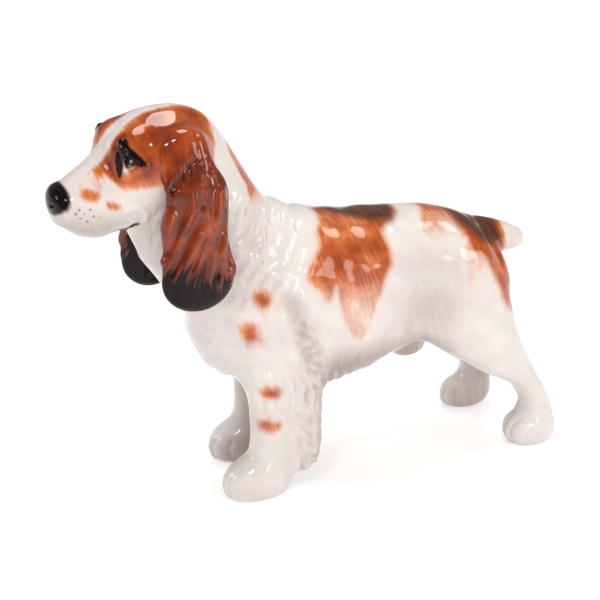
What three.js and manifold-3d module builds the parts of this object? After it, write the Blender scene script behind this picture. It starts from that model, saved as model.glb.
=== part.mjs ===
// A standing spaniel ornament in glazed porcelain: nine slip castings luted together and fired as one.
// Millimetres, +Z up. The nose points to -Y, the dog's left side is +X and the paws stand on Z = 0.
import * as THREE from "three";
import { mergeVertices } from "three/addons/utils/BufferGeometryUtils.js";
import Module from "manifold-3d";

const wasm = await Module();
wasm.setup();

// Driving sizes of the castings and their seams.
const shellWall = 3.5; // porcelain left by the slip in the two hollow castings
const lutingGap = 0.3; // slip seam between neighbouring castings
const cutterRun = 2; // how far a cutter runs past the face that it opens
const ventDiameter = 3; // steam hole under the belly
const ventY = 12; // place of the steam hole along the belly
const trunkHalfWidth = 24; // widest half width of the torso, behind the elbows
const bellyHeight = 31; // lowest level of the torso
const rumpHeight = 81.3; // top of the back where the tail is set on
const rumpY = 58; // place of the tail's root along the torso
const skullHalfWidth = 17; // widest half width of the head, at the ears
const crownHeight = 130.7; // top of the head

// How the figure stands, and where the smaller castings sit on the torso and head.
const foreInset = 10; // fore paws inside the torso's widest line
const foreAxisY = -21.3; // left foreleg along the torso
const rightForelegBack = 6; // the right foreleg stands this much further back
const hindInset = 5.5; // hind paws inside the torso's widest line
const hipInset = 4.5; // the hips lie this much closer to the middle than the hind paws
const hindAxisY = 78.7; // left hind pastern along the torso
const rightHindForward = 5.5; // the right hind paw stands this much further forward
const hipHeight = 50; // level above which both hind legs follow the same line
const earStandOff = 3.7; // middle of an ear flap outside the head's side
const earDrop = 2.7; // ear roots below the crown
const rightEarDrop = 8; // the right ear hangs this much lower again
const earAxisY = -47; // ears along the head
const tailDrop = 7.7; // middle of the tail's root below the top of the rump
const tailDroop = 9.7; // degrees that the tail points below level

// The neck seam, where the torso casting ends and the head casting starts, in the columns below.
const neckSeam = [-21.5, 104.2, -50.5, 71, 17.3];

// Torso with the lower neck, from the rump forward: top edge y z, bottom edge y z, half width.
const torsoSections = [
  [61, 77.2, 70.3, 48.5, 14.4],
  [rumpY, rumpHeight, 58, 47.2, 18],
  [48, 85.4, 47, 44.5, 19.8],
  [37, 87.7, 37, 40.3, 20.5],
  [25, 88.6, 26, 37, 22.3],
  [13, 89.5, 14, 33, 23.8],
  [3, 91, 2, bellyHeight, trunkHalfWidth],
  [-5, 93.3, -10, 32, 23.6],
  [-10, 95.3, -21, 35, 22.5],
  [-14, 97.2, -31, 38.8, 21],
  [-16.7, 98.8, -38.6, 44.8, 19.7],
  [-18.8, 100.6, -42.6, 53.4, 18.7],
  [-20, 102, -44.5, 61.5, 18],
  neckSeam,
];
const rumpDome = 5.6; // length of the rounded rump behind the first section

// Head with the upper neck, from the neck seam forward, in the same columns.
const headSections = [
  neckSeam,
  [-26.5, 112.5, -57, 80.5, 16.3],
  [-31.5, 121, -60, 87, 16],
  [-36.5, 127, -61.5, 90.5, 16.5],
  [-44, 130.4, -62.5, 92.5, skullHalfWidth],
  [-52, crownHeight, -64, 94, skullHalfWidth],
  [-60, 129, -66, 94.2, 16.4],
  [-65.5, 125, -68, 93.8, 15],
  [-69.5, 120, -71, 93.4, 13],
  [-73.6, 116.5, -74, 93.5, 11.4],
  [-79.3, 112.9, -79, 95, 10],
  [-83.5, 110, -83.6, 98, 8.6],
];
const noseDome = 3.5; // length of the rounded muzzle end

// Left foreleg about its axis, from the sole up: level, front edge, back edge, sideways shift, half width.
const forelegSections = [
  [0, -13, 4.6, 0, 5.2],
  [1.2, -15.2, 6, 0, 6.7],
  [3.2, -16.4, 6.9, 0, 7.5],
  [6.5, -16.6, 7.2, 0, 7.8],
  [10, -14.6, 7, 0, 7.4],
  [12.7, -10.5, 6.8, 0, 6.7],
  [15.5, -7.6, 6.6, 0, 6.2],
  [21, -6.7, 6.2, 0, 6],
  [28, -6.8, 6.6, 0, 6.4],
  [34, -7.2, 7.5, 0, 7.2],
  [40, -8, 9, -0.4, 8],
  [47, -8, 10, -2.4, 7.6],
];
const shoulderDome = 7;

// Long hair behind the foreleg, in the same columns.
const featherSections = [
  [9, 2, 17, 0, 3],
  [14, 2, 18.3, 0, 3.6],
  [24, 2, 18.6, 0, 3.8],
  [34, 2, 18.6, 0, 4],
  [40, 2, 18, 0, 4],
];
const featherDome = 4;

// Left hind leg about its pastern, from the sole up, in the same columns.
const hindLegSections = [
  [0, -8, 5.4, 0, 4.6],
  [1.2, -10, 7, 0, 6],
  [3, -11.4, 7.9, 0, 6.8],
  [5.5, -11.7, 8.1, 0, 7.1],
  [8.5, -10.6, 7.5, 0, 6.8],
  [11, -7.2, 6.9, 0, 6],
  [15, -5.4, 5.6, 0, 5.5],
  [19.3, -7.2, 3.9, 0, 5.5],
  [23.5, -11, 1.8, 0, 5.9],
  [28.8, -20.8, -1.2, 0, 6.5],
  [33.5, -27.8, -3.5, 0, 7.2],
  [38, -34.8, -5.6, 0, 8],
  [44, -42, -7.8, 0, 8.7],
  [51, -46.5, -9.6, 0, 8.4],
  [58, -46, -12.4, 0, 7.3],
];
const hipDome = 8;

// Left ear about its root, from the tip up, in the same columns.
const earSections = [
  [-51, -11, 9.7, 0.4, 3.6],
  [-46, -12.8, 11.2, 0.8, 4.4],
  [-40, -12, 10.6, 0.6, 4.3],
  [-33, -11, 9.8, 0.3, 4],
  [-26, -10.4, 10.3, 0, 4],
  [-18, -9.8, 10.4, -0.3, 4],
  [-11, -9.2, 8.4, -1.2, 3.8],
  [-6, -8, 6.4, -2.6, 3.4],
];
const earTipDome = 5.5;
const earRootDome = 5;

// Tail along its own axis, from the tip to the root: distance from the root, half height, half width.
const tailSections = [
  [20, 3.9, 4.2],
  [16.5, 5.1, 5.4],
  [11, 6.3, 6.6],
  [5, 6.9, 7.3],
  [0, 7, 7.6],
];
const tailTipDome = 3.4;
const tailRootDome = 4;

// Raised brows over the eyes and the nose pad, as rounded lumps of the head casting: place and radii.
const brow = { at: [8, -63.4, 119], radii: [6, 5, 6.4] };
const nosePad = { at: [0, -83.5, 106], radii: [5.6, 3.8, 4.6] };

// How finely the skins are drawn.
const shellRingPoints = 24;
const cavityRingPoints = 18;
const limbRingPoints = 16;
const betweenSteps = 2;
const domeRings = 3;

// One oval of a casting lies between two edge points (y, z) of its middle plane.
function uprightOval([topY, topZ, bottomY, bottomZ, half]) {
  return { low: [bottomY, bottomZ], high: [topY, topZ], x: 0, half };
}

function levelOval([level, front, back, shift, half]) {
  return { low: [front, level], high: [back, level], x: shift, half };
}

// The oval's own directions: across from its low to its high edge, and along the casting.
function directions({ low, high }) {
  const across = new THREE.Vector2(high[0] - low[0], high[1] - low[1]);
  const reach = across.length() / 2;
  across.normalize();
  return { reach, across, along: new THREE.Vector2(-across.y, across.x) };
}

// The oval made larger all round, or smaller with a negative amount.
function grown(oval, amount) {
  const { across } = directions(oval);
  return {
    low: [oval.low[0] - across.x * amount, oval.low[1] - across.y * amount],
    high: [oval.high[0] + across.x * amount, oval.high[1] + across.y * amount],
    x: oval.x,
    half: oval.half + amount,
  };
}

// The oval moved along the casting and scaled about its middle.
function moved(oval, distance, scale = 1) {
  const { across, along, reach } = directions(oval);
  const middleY = (oval.low[0] + oval.high[0]) / 2 + along.x * distance;
  const middleZ = (oval.low[1] + oval.high[1]) / 2 + along.y * distance;
  return {
    low: [middleY - across.x * reach * scale, middleZ - across.y * reach * scale],
    high: [middleY + across.x * reach * scale, middleZ + across.y * reach * scale],
    x: oval.x,
    half: oval.half * scale,
  };
}

// A smooth value between b and c, with a and d as the values beyond them.
function smooth(a, b, c, d, share) {
  const slopeB = (c - a) / 2;
  const slopeC = (d - b) / 2;
  const s2 = share * share;
  const s3 = s2 * share;
  return (
    (2 * s3 - 3 * s2 + 1) * b + (s3 - 2 * s2 + share) * slopeB + (3 * s2 - 2 * s3) * c + (s3 - s2) * slopeC
  );
}

// The ovals with smooth ones added between them.
function refined(ovals, steps) {
  const list = [];
  const at = (index) => ovals[Math.min(Math.max(index, 0), ovals.length - 1)];
  for (let i = 0; i < ovals.length - 1; i++) {
    const [a, b, c, d] = [at(i - 1), at(i), at(i + 1), at(i + 2)];
    for (let step = 0; step < steps; step++) {
      const share = step / steps;
      const pair = (edge) => [0, 1].map((k) => smooth(a[edge][k], b[edge][k], c[edge][k], d[edge][k], share));
      list.push({
        low: pair("low"),
        high: pair("high"),
        x: smooth(a.x, b.x, c.x, d.x, share),
        half: smooth(a.half, b.half, c.half, d.half, share),
      });
    }
  }
  list.push(at(ovals.length - 1));
  return list;
}

// Rounded ends: rings that shrink to a point over the dome's length. A dome of 0 leaves a flat end.
function domed(ovals, startDome, endDome) {
  const rings = [...ovals];
  const first = ovals[0];
  const last = ovals[ovals.length - 1];
  for (let i = 1; i <= domeRings; i++) {
    const turn = (i / (domeRings + 1)) * (Math.PI / 2);
    if (startDome) rings.unshift(moved(first, -startDome * Math.sin(turn), Math.cos(turn)));
    if (endDome) rings.push(moved(last, endDome * Math.sin(turn), Math.cos(turn)));
  }
  return rings;
}

function solidFrom(geometry) {
  const bare = geometry.clone();
  bare.deleteAttribute("normal");
  bare.deleteAttribute("uv");
  const merged = mergeVertices(bare, 1e-4);
  return new wasm.Manifold(
    new wasm.Mesh({
      numProp: 3,
      vertProperties: new Float32Array(merged.attributes.position.array),
      triVerts: new Uint32Array(merged.index.array),
    }),
  );
}

// A closed skin through the ovals, with its two ends closed on their middles.
function casting(ovals, { startDome = 0, endDome = 0, points = shellRingPoints, offset = [0, 0, 0] }) {
  const rings = domed(ovals, startDome, endDome);
  const vertices = [];
  const triangles = [];
  const middleOf = (oval) => [oval.x, (oval.low[0] + oval.high[0]) / 2, (oval.low[1] + oval.high[1]) / 2];
  const pole = (oval, distance) => middleOf(moved(oval, distance));
  for (const oval of rings) {
    const { across, reach } = directions(oval);
    const [x, y, z] = middleOf(oval);
    for (let j = 0; j < points; j++) {
      const turn = (2 * Math.PI * j) / points;
      const rise = reach * Math.sin(turn);
      vertices.push(x + oval.half * Math.cos(turn), y + across.x * rise, z + across.y * rise);
    }
  }
  for (let i = 0; i < rings.length - 1; i++) {
    for (let j = 0; j < points; j++) {
      const a = i * points + j;
      const b = i * points + ((j + 1) % points);
      triangles.push(a, b, b + points, a, b + points, a + points);
    }
  }
  const startPole = rings.length * points;
  const lastRing = (rings.length - 1) * points;
  vertices.push(...pole(ovals[0], -startDome), ...pole(ovals[ovals.length - 1], endDome));
  for (let j = 0; j < points; j++) {
    const next = (j + 1) % points;
    triangles.push(startPole, next, j, startPole + 1, lastRing + j, lastRing + next);
  }
  const geometry = new THREE.BufferGeometry();
  geometry.setAttribute("position", new THREE.Float32BufferAttribute(vertices, 3));
  geometry.setIndex(triangles);
  geometry.translate(...offset);
  return solidFrom(geometry);
}

function lump({ at, radii }, side = 1) {
  const geometry = new THREE.SphereGeometry(1, 16, 10);
  geometry.scale(...radii);
  geometry.translate(at[0] * side, at[1], at[2]);
  return solidFrom(geometry);
}

// A limb for the dog's right side is the left one's ovals with the sideways shift turned round.
function sided(ovals, side) {
  return ovals.map((oval) => ({ ...oval, x: oval.x * side }));
}

// Hollow torso: the skin less the same skin one wall further in, open at the neck, with its steam hole.
const torsoOvals = torsoSections.map(uprightOval);
const torsoSkin = (amount) =>
  casting(refined(torsoOvals, betweenSteps).map((oval) => grown(oval, amount)), {
    startDome: rumpDome + amount,
  });
const torsoCavityOvals = torsoOvals.map((oval) => grown(oval, -shellWall));
const neckMouth = torsoCavityOvals[torsoCavityOvals.length - 1];
const torsoCavity = casting([...torsoCavityOvals, moved(neckMouth, cutterRun)], {
  startDome: rumpDome - shellWall,
  points: cavityRingPoints,
});
const ventLength = 2 * (shellWall + cutterRun);
const ventGeometry = new THREE.CylinderGeometry(ventDiameter / 2, ventDiameter / 2, ventLength, 12);
ventGeometry.rotateX(Math.PI / 2);
ventGeometry.translate(0, ventY, bellyHeight + shellWall / 2);
const torso = torsoSkin(0).subtract(torsoCavity).subtract(solidFrom(ventGeometry));

// Hollow head: it starts one seam past the torso's neck, and its cavity is open there.
const headOvals = headSections.map(uprightOval);
headOvals[0] = moved(headOvals[0], lutingGap);
const headSkin = (amount) =>
  casting(refined(headOvals, betweenSteps).map((oval) => grown(oval, amount)), {
    endDome: noseDome + amount,
  });
const headCavityOvals = headOvals.map((oval) => grown(oval, -shellWall));
const headCavity = casting([moved(headCavityOvals[0], -cutterRun), ...headCavityOvals], {
  endDome: cutterRun,
  points: cavityRingPoints,
});
const head = headSkin(0).add(lump(brow)).add(lump(brow, -1)).add(lump(nosePad)).subtract(headCavity);

// The other castings are cut to seat on these, one seam clear of the torso and head.
const torsoSeat = torsoSkin(lutingGap);
const headSeat = headSkin(lutingGap);

function foreleg(side, origin) {
  const leg = casting(sided(refined(forelegSections.map(levelOval), betweenSteps), side), {
    endDome: shoulderDome,
    points: limbRingPoints,
    offset: origin,
  });
  const feather = casting(sided(featherSections.map(levelOval), side), {
    startDome: featherDome,
    endDome: featherDome,
    points: limbRingPoints,
    offset: origin,
  });
  return leg.add(feather).subtract(torsoSeat);
}

// The leg leans in from the paw to the hip, and a paw set forward draws the leg with it up to the hip.
function hindLeg(side, forward, origin) {
  const ovals = refined(hindLegSections.map(levelOval), betweenSteps).map((oval) => {
    const level = oval.low[1];
    const rise = Math.min(level / hipHeight, 1);
    const step = forward * rise;
    return {
      low: [oval.low[0] + step, level],
      high: [oval.high[0] + step, level],
      x: -hipInset * rise * side,
      half: oval.half,
    };
  });
  return casting(ovals, { endDome: hipDome, points: limbRingPoints, offset: origin }).subtract(torsoSeat);
}

function ear(side, origin) {
  const flap = casting(sided(refined(earSections.map(levelOval), betweenSteps), side), {
    startDome: earTipDome,
    endDome: earRootDome,
    points: limbRingPoints,
    offset: origin,
  });
  return flap.subtract(headSeat).subtract(torsoSeat);
}

function tail() {
  const droop = THREE.MathUtils.degToRad(tailDroop);
  const ovals = tailSections.map(([distance, halfHeight, half]) => {
    const y = rumpY + distance * Math.cos(droop);
    const z = rumpHeight - tailDrop - distance * Math.sin(droop);
    const [overY, overZ] = [halfHeight * Math.sin(droop), halfHeight * Math.cos(droop)];
    return { low: [y - overY, z - overZ], high: [y + overY, z + overZ], x: 0, half };
  });
  const stump = casting(ovals, { startDome: tailTipDome, endDome: tailRootDome, points: limbRingPoints });
  return stump.subtract(torsoSeat);
}

const figure = new THREE.Group();
figure.name = "porcelain_dog";

// A casting's mesh is drawn about its own origin and set in its place on the figure.
function place(name, solid, colour, origin = [0, 0, 0]) {
  const { vertProperties, triVerts } = solid.getMesh();
  const geometry = new THREE.BufferGeometry();
  geometry.setAttribute("position", new THREE.BufferAttribute(vertProperties, 3));
  geometry.setIndex(new THREE.BufferAttribute(triVerts, 1));
  geometry.translate(...origin.map((value) => -value));
  geometry.computeVertexNormals();
  const material = new THREE.MeshStandardMaterial({ color: colour, roughness: 0.12, metalness: 0 });
  const mesh = new THREE.Mesh(geometry, material);
  mesh.name = name;
  mesh.position.set(...origin);
  figure.add(mesh);
}

const whiteGlaze = 0xf1e9e4;
const brownGlaze = 0xb5683f;

place("torso", torso, whiteGlaze);
place("head", head, whiteGlaze);

const foreTrack = trunkHalfWidth - foreInset;
const leftFore = [foreTrack, foreAxisY, 0];
const rightFore = [-foreTrack, foreAxisY + rightForelegBack, 0];
place("left_foreleg", foreleg(1, leftFore), whiteGlaze, leftFore);
place("right_foreleg", foreleg(-1, rightFore), whiteGlaze, rightFore);

const hindTrack = trunkHalfWidth - hindInset;
const leftHind = [hindTrack, hindAxisY, 0];
const rightHind = [-hindTrack, hindAxisY - rightHindForward, 0];
place("left_hind_leg", hindLeg(1, 0, leftHind), whiteGlaze, leftHind);
place("right_hind_leg", hindLeg(-1, rightHindForward, rightHind), whiteGlaze, rightHind);

const earTrack = skullHalfWidth + earStandOff;
const earRootHeight = crownHeight - earDrop;
const leftEarRoot = [earTrack, earAxisY, earRootHeight];
const rightEarRoot = [-earTrack, earAxisY, earRootHeight - rightEarDrop];
place("left_ear", ear(1, leftEarRoot), brownGlaze, leftEarRoot);
place("right_ear", ear(-1, rightEarRoot), brownGlaze, rightEarRoot);

place("tail", tail(), brownGlaze, [0, rumpY, rumpHeight - tailDrop]);

export default figure;
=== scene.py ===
import math
import bpy
import numpy as np
import openvdb
from mathutils import Matrix


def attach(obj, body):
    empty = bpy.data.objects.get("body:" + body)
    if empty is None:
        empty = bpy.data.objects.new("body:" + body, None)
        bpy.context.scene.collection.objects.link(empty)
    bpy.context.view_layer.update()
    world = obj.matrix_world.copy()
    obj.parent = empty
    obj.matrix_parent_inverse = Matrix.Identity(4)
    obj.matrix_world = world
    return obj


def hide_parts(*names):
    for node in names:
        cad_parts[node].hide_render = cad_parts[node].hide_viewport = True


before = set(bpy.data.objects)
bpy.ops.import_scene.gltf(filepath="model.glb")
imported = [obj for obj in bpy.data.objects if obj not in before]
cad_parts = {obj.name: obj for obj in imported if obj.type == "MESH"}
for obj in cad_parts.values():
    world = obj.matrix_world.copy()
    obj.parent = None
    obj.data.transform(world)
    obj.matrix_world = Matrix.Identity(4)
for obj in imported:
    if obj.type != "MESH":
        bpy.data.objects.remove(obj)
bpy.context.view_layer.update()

# Torso casting: the trunk with the chest and lower neck, hollow, slip cast in a two-part plaster mould.
# Its skin runs through upright ovals from the rump forward, in millimetres.
# Columns: top edge y and z, bottom edge y and z, half width.
neck_seam = (-21.5, 104.2, -50.5, 71.0, 17.3)
torso_rows = [
    (61, 77.2, 70.3, 48.5, 14.4),
    (58, 81.3, 58, 47.2, 18),
    (48, 85.4, 47, 44.5, 19.8),
    (37, 87.7, 37, 40.3, 20.5),
    (25, 88.6, 26, 37, 22.3),
    (13, 89.5, 14, 33, 23.8),
    (3, 91, 2, 31, 24),
    (-5, 93.3, -10, 32, 23.6),
    (-10, 95.3, -21, 35, 22.5),
    (-14, 97.2, -31, 38.8, 21),
    (-16.7, 98.8, -38.6, 44.8, 19.7),
    (-18.8, 100.6, -42.6, 53.4, 18.7),
    (-20, 102, -44.5, 61.5, 18),
    neck_seam,
]
rump_dome = 5.6


def smooth_rows(rows, steps=10):
    """The rows with smooth ones added between them."""
    rows = np.array(rows, float)
    padded = np.vstack([rows[:1], rows, rows[-1:]])
    a, b, c, d = padded[:-3], padded[1:-2], padded[2:-1], padded[3:]
    share = np.linspace(0, 1, steps, endpoint=False)[:, None, None]
    s2, s3 = share**2, share**3
    leave = (s3 - 2 * s2 + share) * (c - a) / 2
    arrive = (s3 - s2) * (d - b) / 2
    curve = (2 * s3 - 3 * s2 + 1) * b + leave + (3 * s2 - 2 * s3) * c + arrive
    return np.vstack([curve.transpose(1, 0, 2).reshape(-1, rows.shape[1]), rows[-1:]])


def upright_ovals(rows):
    """Ovals as low edge y z, high edge y z, middle x, half width."""
    top_y, top_z, bottom_y, bottom_z, half = smooth_rows(rows).T
    return np.column_stack([bottom_y, bottom_z, top_y, top_z, 0 * half, half])


def skin(ovals, start_dome=0.0, end_dome=0.0, points=144, dome_rings=16):
    """A closed skin through ovals, with rounded or flat ends: places, triangles, quads."""
    middle = (ovals[:, 0:2] + ovals[:, 2:4]) / 2
    across = (ovals[:, 2:4] - ovals[:, 0:2]) / 2
    along = np.column_stack([-across[:, 1], across[:, 0]])
    along /= np.linalg.norm(along, axis=1)[:, None]
    x, half = ovals[:, 4], ovals[:, 5]
    rings = [(middle[i], across[i], x[i], half[i]) for i in range(len(ovals))]
    for i in range(1, dome_rings + 1):
        turn = i / (dome_rings + 1) * math.pi / 2
        sine, cosine = math.sin(turn), math.cos(turn)
        if start_dome:
            dome_middle = middle[0] - along[0] * start_dome * sine
            rings.insert(0, (dome_middle, across[0] * cosine, x[0], half[0] * cosine))
        if end_dome:
            dome_middle = middle[-1] + along[-1] * end_dome * sine
            rings.append((dome_middle, across[-1] * cosine, x[-1], half[-1] * cosine))
    turns = np.linspace(0, 2 * math.pi, points, endpoint=False)
    places = []
    for ring_middle, ring_across, ring_x, ring_half in rings:
        edge = ring_middle + np.sin(turns)[:, None] * ring_across
        places.append(np.column_stack([ring_x + ring_half * np.cos(turns), edge]))
    start_pole = [x[0], *(middle[0] - along[0] * start_dome)]
    end_pole = [x[-1], *(middle[-1] + along[-1] * end_dome)]
    places = np.vstack([*places, start_pole, end_pole])
    here = np.arange(points)
    after = (here + 1) % points
    first = np.arange(len(rings) - 1)[:, None] * points
    quads = np.stack([first + here, first + after, first + after + points, first + here + points], -1)
    last = (len(rings) - 1) * points
    pole = np.full(points, len(rings) * points)
    start_fan = np.column_stack([pole, after, here])
    end_fan = np.column_stack([pole + 1, last + here, last + after])
    return places, np.vstack([start_fan, end_fan]), quads.reshape(-1, 4)


class ClayBlock:
    """A block of space on an even grid. Its fields hold distances to the clay's skin, negative inside."""

    def __init__(self, low, high, step):
        self.step = step
        self.first = np.floor(np.array(low) / step).astype(int)
        self.shape = tuple(np.ceil(np.array(high) / step).astype(int) - self.first + 1)
        self.corner = tuple(int(k) for k in self.first)
        axes = [(self.first[k] + np.arange(self.shape[k])) * step for k in range(3)]
        self.x, self.y, self.z = np.ix_(*[axis.astype(np.float32) for axis in axes])

    def around(self, low, high):
        """The part of the block round a box, and the x, y and z of its places."""
        start = np.clip(np.floor(np.array(low) / self.step).astype(int) - self.first, 0, self.shape)
        stop = np.clip(np.ceil(np.array(high) / self.step).astype(int) - self.first + 1, 0, self.shape)
        part = tuple(slice(a, b) for a, b in zip(start, stop))
        return part, self.x[part[0]], self.y[:, part[1]], self.z[:, :, part[2]]

    def clay(self, surface, reach=9.0):
        """The field of one closed skin, true to this reach on both sides of it."""
        places, triangles, quads = surface
        grid = openvdb.FloatGrid.createLevelSetFromPolygons(
            places.astype(np.float32),
            triangles=triangles.astype(np.uint32),
            quads=quads.astype(np.uint32),
            transform=openvdb.createLinearTransform(self.step),
            exBandWidth=reach / self.step,
            inBandWidth=reach / self.step,
        )
        field = np.empty(self.shape, np.float32)
        grid.copyToArray(field, ijk=self.corner)
        return field

    def read(self, field, places):
        """Values of a field at places between the points of its grid."""
        spot = places / self.step - self.first
        base = np.clip(np.floor(spot).astype(int), 0, np.array(self.shape) - 2)
        share = spot - base
        total = np.zeros(len(places))
        for corner in np.ndindex(2, 2, 2):
            weight = np.prod(np.where(corner, share, 1 - share), axis=1)
            total += weight * field[tuple((base + corner).T)]
        return total

    def slope(self, field, places):
        """Directions in which a field rises most, each of length 1."""
        shifts = np.eye(3) * self.step
        rises = [self.read(field, places + shift) - self.read(field, places - shift) for shift in shifts]
        slope = np.column_stack(rises)
        return slope / np.linalg.norm(slope, axis=1)[:, None]

    def mesh(self, field):
        """The skin of a field as places and quads, drawn exactly onto it."""
        grid = openvdb.FloatGrid(background=9.0)
        grid.copyFromArray(field, ijk=self.corner)
        grid.transform = openvdb.createLinearTransform(self.step)
        places, quads = grid.convertToQuads(0.0)
        places, quads = places.astype(float), quads.astype(int)
        for _ in range(3):
            places -= self.slope(field, places) * self.read(field, places)[:, None]
        return places, quads


def joined(one, other, fillet):
    """Two clay fields pressed together, with a sponged fillet of about this size."""
    fillet = np.maximum(fillet, 0.01)
    share = np.maximum(fillet - np.abs(one - other), 0) / fillet
    return np.minimum(one, other) - share * share * fillet / 4


def sponge(clay, passes):
    """Clay smoothed all over, as a wet sponge does it."""
    for _ in range(passes):
        for axis in range(3):
            rows = np.moveaxis(clay, axis, 0)
            rows[1:-1] = (rows[:-2] + 2 * rows[1:-1] + rows[2:]) / 4


def lump(block, at, radii, tilt=0.0):
    """A rounded lump whose side view is tilted by these degrees: its part of the block and its field."""
    reach = max(radii) + 6.0
    part, x, y, z = block.around(np.array(at) - reach, np.array(at) + reach)
    turn = math.radians(tilt)
    along = (y - at[1]) * math.cos(turn) + (z - at[2]) * math.sin(turn)
    up = (z - at[2]) * math.cos(turn) - (y - at[1]) * math.sin(turn)
    scaled = np.sqrt(((x - at[0]) / radii[0]) ** 2 + (along / radii[1]) ** 2 + (up / radii[2]) ** 2)
    return part, (scaled - 1) * min(radii)


def roll(block, line, thick):
    """A clay roll along a line of points, tapering between the thicknesses at its ends, as for a lump."""
    line = np.array(line, float)
    part, x, y, z = block.around(line.min(axis=0) - 5, line.max(axis=0) + 5)
    thickness = np.linspace(thick[0], thick[1], len(line))
    field = np.float32(50)
    for i in range(len(line) - 1):
        run = line[i + 1] - line[i]
        dx, dy, dz = x - line[i][0], y - line[i][1], z - line[i][2]
        share = np.clip((dx * run[0] + dy * run[1] + dz * run[2]) / (run @ run), 0, 1)
        apart = (dx - share * run[0]) ** 2 + (dy - share * run[1]) ** 2 + (dz - share * run[2]) ** 2
        taper = thickness[i] + share * (thickness[i + 1] - thickness[i])
        field = np.minimum(field, np.sqrt(apart) - taper)
    return part, field


def add(clay, shape, fillet):
    """A shape pressed onto the clay, with a fillet round it."""
    part, field = shape
    clay[part] = joined(clay[part], field, fillet)


def carve(clay, shape, round_edge):
    """A shape cut out of the clay, with its edge rounded."""
    part, field = shape
    clay[part] = -joined(-clay[part], field, round_edge)


torso_step = 0.5
head_step = 0.35
body_block = ClayBlock((-28, -66, -1.5), (28, 92, 112), torso_step)
head_block = ClayBlock((-29, -90, 64), (29, -12, 134), head_step)

# Head casting: skull, muzzle and upper neck, hollow, cast in its own mould and butted on the neck seam.
# The brows, eyes, lids, lips and nose pad are modelled in the mould, so they are part of this piece.
head_rows = [
    (-26.5, 112.5, -57, 80.5, 16.3),
    (-31.5, 121, -60, 87, 16),
    (-36.5, 127, -61.5, 90.5, 16.5),
    (-44, 130.4, -62.5, 92.5, 17),
    (-52, 130.7, -64, 94, 17),
    (-60, 129, -66, 94.2, 16.4),
    (-65.5, 125, -68, 93.8, 15),
    (-69.5, 120, -71, 92.6, 13),
    (-73.6, 116.5, -74, 92.4, 11.6),
    (-79.0, 112.9, -79, 93.8, 10.2),
    (-83.0, 110, -83.2, 97, 8.8),
]
nose_dome = 3.4
trunk = skin(upright_ovals(torso_rows + head_rows), rump_dome, nose_dome)
body_skin = body_block.clay(trunk)
bare_head = head_block.clay(trunk)
sponge(body_skin, passes=6)

brow, brow_size = (8.0, -63.4, 119.0), (6, 5, 6.4)
eye_socket, socket_size = (15.0, -65.2, 118.2), (2.0, 3.0, 2.2)
eyeball, eyeball_size = (12.7, -64.4, 118.2), (2.6, 2.7, 2.4)
nose_pad, nose_size = (0, -82.8, 105.7), (7.2, 4.1, 4.7)
upper_lid = [
    (10.2, -66.4, 123.8), (12.4, -66.2, 122.3), (14.0, -64.9, 120.9),
    (15.2, -63.2, 119.2), (16.0, -61.4, 117.4),
]
lower_lid = [(14.2, -66.4, 115.7), (15.4, -64.4, 115.9), (16.0, -62.4, 116.8)]
inner_lid = [(11.0, -67.2, 122.9), (12.5, -66.9, 121.0), (13.6, -66.7, 118.9), (14.0, -66.6, 116.8)]
lip_fold = [
    (13.6, -67.0, 102.8), (14.5, -65.2, 104.4), (14.8, -62.5, 104.5),
    (14.3, -60.5, 102.4), (12.9, -60.6, 99.6),
]
mouth_line = [
    (5.0, -84.0, 97.0), (8.4, -78.0, 94.4), (9.0, -72.0, 93.6), (7.6, -66.5, 94.2), (10.2, -63.2, 97.6),
]
nostril = [(2.4, -86.7, 104.6), (5.4, -84.9, 105.3)]
lip_cleft = [(0, -87.1, 104.7), (0, -86.7, 98.8)]
for side in (1, -1):
    add(bare_head, lump(head_block, brow * np.array([side, 1, 1]), brow_size), 4.0)
sponge(bare_head, passes=12)
add(bare_head, lump(head_block, nose_pad, nose_size), 1.2)
carve(bare_head, roll(head_block, lip_cleft, (0.3, 0.3)), 0.5)
for side in (1, -1):
    sided = np.array([side, 1, 1])
    carve(bare_head, lump(head_block, eye_socket * sided, socket_size), 1.0)
    add(bare_head, lump(head_block, eyeball * sided, eyeball_size), 0.3)
    add(bare_head, roll(head_block, upper_lid * sided, (0.7, 0.6)), 1.2)
    add(bare_head, roll(head_block, lower_lid * sided, (0.5, 0.5)), 1.0)
    add(bare_head, roll(head_block, inner_lid * sided, (0.3, 0.5)), 0.6)
    add(bare_head, roll(head_block, lip_fold * sided, (0.6, 0.7)), 1.0)
    carve(bare_head, roll(head_block, mouth_line * sided, (0.3, 0.6)), 0.7)
    carve(bare_head, roll(head_block, nostril * sided, (0.5, 0.4)), 0.5)
head_clay = bare_head

# Ears: two solid flaps of long wavy hair, cast flat and luted to the sides of the skull by their roots.
# The right ear hangs lower, and its tip swings back.
# Columns from the tip up: level, front edge, back edge, sideways shift, half thickness.
ear_rows = [
    (-45.5, -13.4, 10.7, 2.6, 4.4),
    (-40, -12.6, 10.2, 2.0, 4.3),
    (-33, -11.3, 9.5, 1.0, 4),
    (-26, -10.5, 10.2, 0.2, 4),
    (-18, -9.8, 10.4, -0.7, 4),
    (-11, -9.2, 8.4, -2.4, 3.8),
    (-6, -8, 6.4, -4.6, 3.4),
]
ear_tip_dome = 10.4
ear_top_dome = 5.0
ear_roots = {"left_ear": (20.7, -47, 128), "right_ear": (-20.7, -47, 120)}
ear_swing = {"left_ear": 0.0, "right_ear": 3.0}
ear_fold = np.array([(0.6, -0.4, -9.0), (1.5, -4.0, -12.2), (1.3, -8.4, -17.2)])
# The thumb smooths a box about each root, set in from it and below it.
thumb_inset = 3.7
thumb_drop = 5.0
thumb_reach = (13, 15, 15)
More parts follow.
